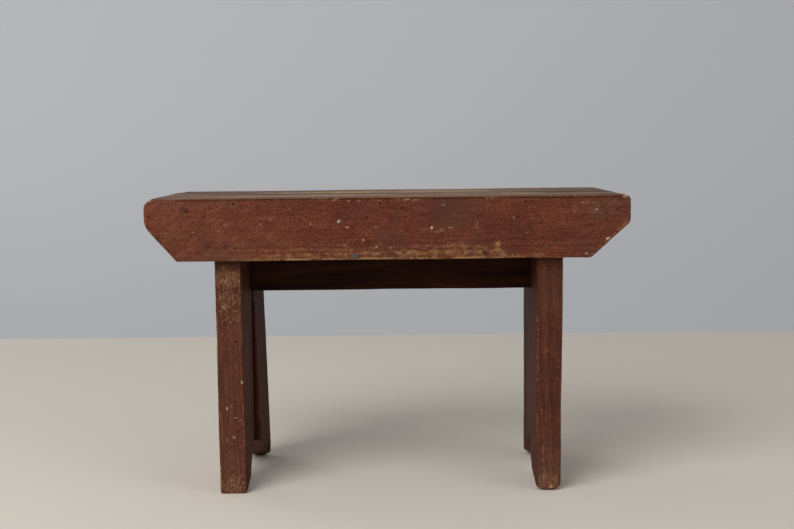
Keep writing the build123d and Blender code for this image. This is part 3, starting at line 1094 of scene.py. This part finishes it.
def spread_left(points, shape):
    """The left leg's front board: skewed, and a little thicker than it was planed at its front edge."""
    low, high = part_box("left_leg_front")
    shift = skewed(points, shape)
    flare = 2 - rise(points[:, Z], 0, high.z)
    thick = rise(points[:, X], low.x, high.x - low.x)
    shift[:, X] += shape.leg_swell * flare * thick * rise(points[:, Y], 0, low.y)
    return shift


def spread_right(points, shape):
    """The right leg: skewed, and thicker at the top of its front edge, where the board has cupped."""
    low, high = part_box("right_leg")
    shift = skewed(points, shape)
    cupped_from = 0.08
    cupping = 2.4
    height = rise(points[:, Z], cupped_from, high.z - cupped_from)
    thick = rise(points[:, X], low.x, high.x - shape.leg_skew - low.x)
    shift[:, X] += cupping * shape.leg_swell * thick * height * rise(points[:, Y], 0, low.y)
    return shift


def leaning(points, shape):
    """Shift of the left leg's rear board: skewed like its neighbour, and leaning in at its foot."""
    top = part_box("left_leg_rear")[1].z
    shift = skewed(points, shape)
    shift[:, X] += shape.board_lean * (top - points[:, Z]) / top
    return shift


def foot_round(front_radius):
    """How much rounder a leg is worn near its soles: like a knuckle behind, and by a radius in front."""
    def added(points):
        radius = np.where(points[:, Y] > 0, KNUCKLE, front_radius)
        return radius * np.exp(-np.maximum(points[:, Z], 0) / SOLE_WEAR_HEIGHT)
    return added


def front_grime(points):
    """A dark line just under the front apron's top arris, and painted shade on its inner face, under the
    seat.
    """
    arris_line = 283.9
    left_corner = -196
    on_face = (points[:, X] > left_corner) * (points[:, Y] < FRONT_Y + 1)
    return np.maximum(0.8 * band(points, arris_line, 0.8) * on_face, 0.5 * (points[:, Y] > FRONT_Y + 19))


def front_sawn(points):
    """Scraper strokes on the front apron's face, towards both ends."""
    left = 0.82 * rise(points[:, X], -70, -90)
    right = 0.45 * rise(points[:, X], 120, 60)
    return np.maximum(left, right) * (points[:, Y] < FRONT_Y + 2)


def rear_sawn(points):
    """Scraper strokes on the rear apron's face, towards the right end."""
    return rise(points[:, X], 110, 60) * (points[:, Y] > REAR_Y - 2)


class STOOL_OT_aprons(bpy.types.Operator):
    """Build the two long apron boards with their clipped, worn corners"""

    bl_idname = "stool.aprons"
    bl_label = "Aprons"

    def execute(self, context):
        shape = context.scene.stool_shape
        low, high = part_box("front_apron")
        outline = rounded((
            (low.x, high.z, shape.left_corner_radius),
            (low.x, low.z + shape.clip_height, shape.left_clip_radius),
            (low.x + shape.left_clip_width, low.z, shape.foot_corner_radius),
            (high.x - shape.right_clip_width, low.z, shape.foot_corner_radius * 2),
            (high.x, low.z + shape.clip_height, shape.right_clip_radius),
            (high.x, high.z, shape.right_corner_radius),
        ))
        # the top edges, worn bare with the seat
        front_top = ((0, FRONT_Y + 10, 285.4), (330, 13.5, 0.75), "dusty", 1.0)
        rear_top = ((0, REAR_Y - 10, 285.4), (330, 13.5, 0.75), "dusty", 1.0)
        rear_patches = ((70, 262, 60, 16, "rubbed", 0.36), (-150, 250, 46, 14, "rubbed", 0.38),
                        (-40, 232, 60, 7, "bare", 0.5))
        rear_marks = [rear_top, *marks_on(Y, REAR_Y, rear_patches)]
        for start_x, start_z, end_x, end_z, seed, across, strength, *tints in (
            (-190, 228, 182, 228, 61, 2.4, 0.66),
            (-150, 231, 60, 231, 62, 4.5, 0.5),
            (-216, 283.6, 216, 283.6, 63, 1.2, 0.6, ("rubbed", "fleck", "pink")),
            (222, 258, 192, 230, 64, 4, 0.56, ("rubbed", "ochre")),
            (-223, 258, -197, 230, 65, 3, 0.5, ("rubbed", "ochre")),
        ):
            ends = (start_x, REAR_Y, start_z), (end_x, REAR_Y, end_z)
            rear_marks += worn_line(*ends, seed, across, strength, *tints)
        rear_marks += random_marks("rear_apron", ((Y, 1),), 66, 34, 8)
        boards = (
            Board(
                "front_apron", outline, (X, Z), X, Z, 11, shape.apron_step, shape.arris_radius,
                wormholes=[((x, FRONT_Y, z), FORWARDS) for x, z in FRONT_APRON_WORMHOLES],
                marks=(front_top, *FRONT_APRON_MARKS),
                knots=(((-58, FRONT_Y, 268), 5),),
                grime=front_grime,
                sawn=front_sawn,
                edge_wear=0.9,
            ),
            Board(
                "rear_apron", outline, (X, Z), X, Z, 23, shape.apron_step, shape.arris_radius * 1.1,
                wormholes=random_wormholes("rear_apron", ((Y, 1),), 22, 5, 12),
                marks=rear_marks,
                knots=(((62, REAR_Y, 250), 6), ((-140, REAR_Y, 262), 4)),
                sawn=rear_sawn,
            ),
        )
        material = painted_pine(context.scene.stool_finish, X)
        for board in boards:
            dress(board.build(material, shape), board.node)
        return {"FINISHED"}


class STOOL_OT_seat(bpy.types.Operator):
    """Build the weathered seat board between the aprons"""

    bl_idname = "stool.seat"
    bl_label = "Seat"

    def execute(self, context):
        shape = context.scene.stool_shape
        outline = rectangle(*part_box("seat_board"), 0, shape.seat_end_radius)
        cracks = [
            (wander((*start, SEAT_TOP), (*end, SEAT_TOP), seed), half_width, depth, UPWARDS)
            for start, end, seed, half_width, depth in (
                ((-222, 31), (-150, 34), 3, 0.7, 6),
                ((222, -22), (138, -19), 4, 0.6, 6),
                ((-20, -48), (64, -51), 5, 0.4, 4),
            )
        ]
        board = Board(
            "seat_board", outline, (X, Z), X, Y, 31, shape.board_step * 1.1, shape.arris_radius * 0.9,
            wormholes=random_wormholes("seat_board", ((Z, 1),), 26, 8, 10),
            marks=SEAT_MARKS,
            knots=(((-132, 38, SEAT_TOP), 6), ((48, -46, SEAT_TOP), 4.5), ((176, 44, SEAT_TOP), 5)),
            cracks=cracks,
        )
        material = weathered_pine(context.scene.stool_finish)
        dress(board.build(material, shape), board.node)
        return {"FINISHED"}


class STOOL_OT_legs(bpy.types.Operator):
    """Build the three leg boards with their worn feet"""

    bl_idname = "stool.legs"
    bl_label = "Legs"

    def execute(self, context):
        shape = context.scene.stool_shape
        low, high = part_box("right_leg")
        left_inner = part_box("left_leg_front")[1].y / MM
        right_faces = (low.x, high.x - shape.leg_skew)
        left_faces = (-right_faces[1], -right_faces[0])
        right = right_faces[1] / MM
        left = left_faces[0] / MM
        front_top = (LEG_FRONT, LEG_TOP, 1)
        rear_top = (LEG_REAR, LEG_TOP, 1)

        def grime(points):
            """Painted shade under the aprons, on the inner faces and in the gap between the left leg's
            boards, over a general darkening of the legs.
            """
            joint = 221
            inner_face = 140.6
            half_gap = 2.2
            # painted shade at the tops of the legs, where they meet the aprons
            under = rise(points[:, Z], joint, 4) * 0.5
            # painted shade on the inner faces, deeper on the left leg and most on its rear board, and nearly
            # black in the gap between the left leg's boards
            inner = (np.abs(points[:, X]) < inner_face) & (points[:, Y] > LEG_FRONT + 0.8)
            leant = shape.board_lean / MM * (LEG_TOP - points[:, Z]) / LEG_TOP
            gap = np.abs(points[:, Y]) < half_gap
            between = gap & (points[:, X] < left_faces[1] / MM - leant + 1.2)
            on_left = points[:, X] < 0
            rear_board = (points[:, Y] > 0) & on_left
            dusk = 0.44 + 0.05 * on_left + 0.05 * rear_board
            inner_and_gap_shade = np.maximum(dusk * (inner | gap & rear_board), 0.95 * between)
            # a general darkening of the legs, more on the right leg and round 172 mm up, less near the feet,
            # and less just under the aprons as painted light against their shadow
            handled = 0.05 + 0.06 * (points[:, X] > 0) + 0.12 * band(points, 172, 36)
            handled -= 0.12 * band(points, 214, 14)
            handled -= 0.11 * band(points, 0, 30)
            return np.maximum(np.maximum(under, handled), inner_and_gap_shade)

        def worn_edges(face, rows):
            """Worn lines along an outer face's edges, from rows of y, z, y, z and how they are worn."""
            found = []
            for start_y, start_z, end_y, end_z, *worn in rows:
                found += worn_line((face, start_y, start_z), (face, end_y, end_z), *worn)
            return found

        soiled = ("dusty", "soiled", "bare")
        left_front_marks = [
            *LEFT_LEG_MARKS,
            ((left, -40, 206), (3, 24, 14), "golden", 0.4),
            *worn_edges(left, (
                (LEG_FRONT, 12, LEG_FRONT, 210, 71, 2.0, 0.5, ("rubbed", "bare")),
                (LEG_FRONT, 2, -30, 2, 72, 4, 0.6, soiled),
            )),
            *random_marks("left_leg_front", ((X, -1), (X, 1)), 73, 16, 4),
        ]
        left_rear_marks = [
            *LEFT_REAR_FOOT_MARKS,
            *worn_edges(left, (
                (LEG_REAR, 8, LEG_REAR, 214, 74, 2.2, 0.56, ("rubbed", "bare")),
                (44, 2, LEG_REAR, 2, 75, 4, 0.6, soiled),
            )),
            *random_marks("left_leg_rear", ((X, -1), (Y, 1)), 76, 14, 4),
        ]
        right_marks = [
            *RIGHT_LEG_MARKS,
            *worn_edges(right, (
                (LEG_FRONT, 14, LEG_FRONT, 212, 77, 2.0, 0.5, ("rubbed", "bare")),
                (LEG_REAR, 14, LEG_REAR, 212, 78, 2.4, 0.6, ("rubbed", "bare", "ochre")),
                (LEG_FRONT, 4, -30, 6, 79, 5, 0.6, ("dusty", "soiled")),
                (36, 6, LEG_REAR, 4, 80, 5, 0.6, ("dusty", "soiled")),
            )),
            ((right, 10, 120), (3, 34, 60), "rubbed", 0.36),
            *random_marks("right_leg", ((X, 1), (X, -1), (Y, 1)), 81, 22, 5),
        ]
        left_front = leg_outline(
            front_top, (LEG_FRONT, 0, 3), *LEFT_FRONT_SOLE, (left_inner, 39, 1), (left_inner, LEG_TOP, 1)
        )
        left_rear = leg_outline(
            (-left_inner, LEG_TOP, 1), (-left_inner, 35, 1), *LEFT_REAR_SOLE, (LEG_REAR, 0, 2), rear_top
        )
        whole = leg_outline(front_top, (LEG_FRONT, 0, 4), *RIGHT_SOLES, (LEG_REAR, 0, 3), rear_top)
        axes = ((Y, Z), Z, Y)
        size = (shape.board_step, shape.arris_radius * 0.7)
        boards = (
            Board(
                "left_leg_front", left_front, *axes, 41, *size,
                faces=left_faces,
                marks=left_front_marks,
                wormholes=random_wormholes("left_leg_front", ((X, -1), (X, 1)), 7, 12, 10)
                + [((-146, LEG_FRONT, z), FORWARDS) for z in (148, 61)],
                bend=spread_left,
                worn_round=foot_round(0.8),
            ),
            Board(
                "left_leg_rear", left_rear, *axes, 43, *size,
                faces=left_faces,
                marks=left_rear_marks,
                wormholes=random_wormholes("left_leg_rear", ((X, -1), (Y, 1)), 6, 13, 10),
                bend=leaning,
                worn_round=foot_round(0.8),
            ),
            Board(
                "right_leg", whole, *axes, 47, *size,
                faces=right_faces,
                marks=right_marks,
                wormholes=random_wormholes("right_leg", ((X, 1), (X, -1)), 9, 14, 10),
                cracks=(
                    (wander((149.6, LEG_FRONT, 92), (145.2, LEG_FRONT, 14), 6, 0.4), 0.16, 2.5, FORWARDS),
                    (wander((right, 12, 140), (right, 16, 44), 7), 0.5, 6, RIGHTWARDS),
                    (wander((right, -40, 250), (right, -38, 178), 8), 0.4, 5, RIGHTWARDS),
                ),
                bend=spread_right,
                worn_round=foot_round(KNUCKLE),
            ),
        )
        material = painted_pine(context.scene.stool_finish, Z)
        for board in boards:
            board.grime = grime
            dress(board.build(material, shape), board.node)
        return {"FINISHED"}


class STOOL_OT_rail(bpy.types.Operator):
    """Build the rail between the legs"""

    bl_idname = "stool.rail"
    bl_label = "Rail"

    def execute(self, context):
        shape = context.scene.stool_shape
        low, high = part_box("centre_rail")
        edge_radius = 0.8 * MM
        outline = rectangle(low, high, edge_radius, edge_radius)
        board = Board(
            "centre_rail", outline, (X, Z), X, Z, 53, shape.board_step, shape.arris_radius,
            knots=(((40, low.y / MM, 222), 5),),
            # painted shade: the rail is darkened nearly to the dirt colour all over, as it lies in shade
            # under the seat
            grime=lambda points: np.full(len(points), 0.97),
            edge_wear=0.4,
        )
        material = painted_pine(context.scene.stool_finish, X)
        dress(board.build(material, shape), board.node)
        return {"FINISHED"}


def islands(solid):
    """Sets of a bmesh's corners that hang together."""
    unseen = set(solid.verts)
    while unseen:
        island = set()
        waiting = [unseen.pop()]
        while waiting:
            corner = waiting.pop()
            island.add(corner)
            near = {edge.other_vert(corner) for edge in corner.link_edges} & unseen
            unseen -= near
            waiting += near
        yield island


def nail_heads(node):
    """Where each nail of a packed group has its head, and which way that head faces."""
    nails = bmesh.new()
    nails.from_mesh(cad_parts[node].data)
    bmesh.ops.remove_doubles(nails, verts=nails.verts, dist=0.01 * MM)
    found = []
    for island in islands(nails):
        points = np.array([corner.co for corner in island])
        low = points.min(axis=0)
        high = points.max(axis=0)
        middle = (low + high) / 2
        axis = int(np.argmax(high - low))
        for end, side in ((low, -1), (high, 1)):
            rim = points[np.abs(points[:, axis] - end[axis]) < 0.1 * MM] - middle
            rim[:, axis] = 0
            if np.linalg.norm(rim, axis=1).max() > 1 * MM:
                place = middle.copy()
                place[axis] = end[axis]
                outward = np.zeros(3)
                outward[axis] = side
                found.append((place, outward))
    nails.free()
    return sorted(found, key=lambda nail: tuple(nail[0]))


class STOOL_OT_nails(bpy.types.Operator):
    """Drive the wire nails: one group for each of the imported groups"""

    bl_idname = "stool.nails"
    bl_label = "Nails"

    def execute(self, context):
        material = rusted_iron(context.scene.stool_finish)
        tree = scatter_tree("wire_nails", NAIL_SIZES, nail_shape)
        values = {
            **NAIL_SIZES, "Least Scale": 0.92, "Most Scale": 1.0, "Tilt": 0.03,
            "Seed": context.scene.stool_shape.seed, "Finish": material,
        }
        groups = ("front_apron_nails", "rear_apron_nails", "seat_nails", "left_leg_nails", "right_leg_nails")
        for node in groups:
            spots = [(place - outward * NAIL_SUNK, outward) for place, outward in nail_heads(node)]
            mesh = scattered(node + "_worn", tree, spots, values)
            dress(piece_from("driven_" + node, mesh, material, NAIL_EDGE_ANGLE), node)
        return {"FINISHED"}


class STOOL_OT_studio(bpy.types.Operator):
    """Lay the floor, hang the backdrop, and set up the lights and the camera"""

    bl_idname = "stool.studio"
    bl_label = "Studio"

    def execute(self, context):
        studio = context.scene.stool_studio
        self.lay_stage(studio)
        self.light(context, studio)
        self.aim_camera(context)
        context.scene.view_settings.view_transform = "Standard"
        return {"FINISHED"}

    def lay_stage(self, studio):
        """Plain floor, and a plain backdrop that stands well behind its far edge."""
        reach = 3.4
        floor_end = 0.86
        wall_y = 2.0
        wall_foot = -1
        sheets = (
            ("studio_floor", studio.floor, (-reach, 0), (floor_end, 0)),
            ("studio_backdrop", studio.backdrop, (wall_y, wall_foot), (wall_y, reach)),
        )
        for name, colour, near, far in sheets:
            material = bpy.data.materials.new("plain_" + name)
            material.use_nodes = True
            shader = material.node_tree.nodes["Principled BSDF"]
            shader.inputs["Base Color"].default_value = (*colour, 1)
            shader.inputs["Roughness"].default_value = 0.9
            shader.inputs["Specular IOR Level"].default_value = 0.2
            mesh = bpy.data.meshes.new(name)
            mesh.from_pydata(
                ((-reach, *near), (reach, *near), (reach, *far), (-reach, *far)), [], [(0, 1, 2, 3)]
            )
            piece_from(name, mesh, material)

    def light(self, context, studio):
        """A wide soft key from the upper left front, weak lights at two sides, and even room light."""
        lamps = (
            ("key_light", (-0.92, -1.34, 1.5), 1.5, studio.key_power),
            ("fill_light", (1.9, -1.2, 1.1), 1.6, studio.fill_power),
            ("back_light", (-1.9, 1.3, 0.6), 0.9, studio.back_power),
        )
        aim = Vector((0, 0, 0.15))
        for name, place, size, power in lamps:
            lamp = bpy.data.lights.new(name, "AREA")
            lamp.shape = "DISK"
            lamp.size = size
            lamp.energy = power
            holder = placed(name, lamp)
            holder.location = place
            holder.rotation_euler = (aim - Vector(place)).to_track_quat("-Z", "Y").to_euler()
        world = bpy.data.worlds.new("studio_room")
        world.use_nodes = True
        room = world.node_tree.nodes["Background"]
        room.inputs["Color"].default_value = (1, 1, 1, 1)
        room.inputs["Strength"].default_value = studio.room_light
        context.scene.world = world

    def aim_camera(self, context):
        """Camera at the photograph's place: low in front, tipped down and turned a little clockwise."""
        pitch = math.radians(CAMERA_PITCH)
        roll = math.radians(CAMERA_ROLL)
        side = Vector((1, 0, 0))
        ahead = Vector((0, math.cos(pitch), -math.sin(pitch)))
        up = side.cross(ahead)
        right = side * math.cos(roll) - up * math.sin(roll)
        above = side * math.sin(roll) + up * math.cos(roll)
        lens = bpy.data.cameras.new("photograph_camera")
        lens.sensor_width = CAMERA_SENSOR
        lens.lens = CAMERA_LENS
        camera = placed("photograph_camera", lens)
        turn = Matrix((right, above, -ahead)).transposed().to_4x4()
        camera.matrix_world = Matrix.Translation(CAMERA_PLACE) @ turn
        context.scene.camera = camera


class STOOL_PT_sidebar(bpy.types.Panel):
    """Lists the stool's pieces and their settings"""

    bl_idname = "STOOL_PT_sidebar"
    bl_label = "Painted pine stool"
    bl_space_type = "VIEW_3D"
    bl_region_type = "UI"
    bl_category = "Stool"

    def draw(self, context):
        layout = self.layout
        for name, group in GROUPS.items():
            box = layout.box()
            for setting in group.__annotations__:
                box.prop(getattr(context.scene, name), setting)
        for operator in OPERATORS:
            layout.operator(operator.bl_idname)


OPERATORS = (STOOL_OT_studio, STOOL_OT_aprons, STOOL_OT_seat, STOOL_OT_legs, STOOL_OT_rail, STOOL_OT_nails)
GROUPS = {"stool_shape": StoolShape, "stool_finish": StoolFinish, "stool_studio": StoolStudio}


def register():
    """Makes the settings, the operators and the panel known to Blender."""
    for made in (*GROUPS.values(), *OPERATORS, STOOL_PT_sidebar):
        bpy.utils.register_class(made)
    for name, group in GROUPS.items():
        setattr(bpy.types.Scene, name, PointerProperty(type=group))


def unregister():
    """Takes them out again."""
    for name in GROUPS:
        delattr(bpy.types.Scene, name)
    for made in reversed((*GROUPS.values(), *OPERATORS, STOOL_PT_sidebar)):
        bpy.utils.unregister_class(made)


def main():
    """Builds the studio and every piece in order."""
    register()
    bpy.ops.stool.studio()
    bpy.ops.stool.aprons()
    bpy.ops.stool.seat()
    bpy.ops.stool.legs()
    bpy.ops.stool.rail()
    bpy.ops.stool.nails()


if __name__ == "__main__":
    main()
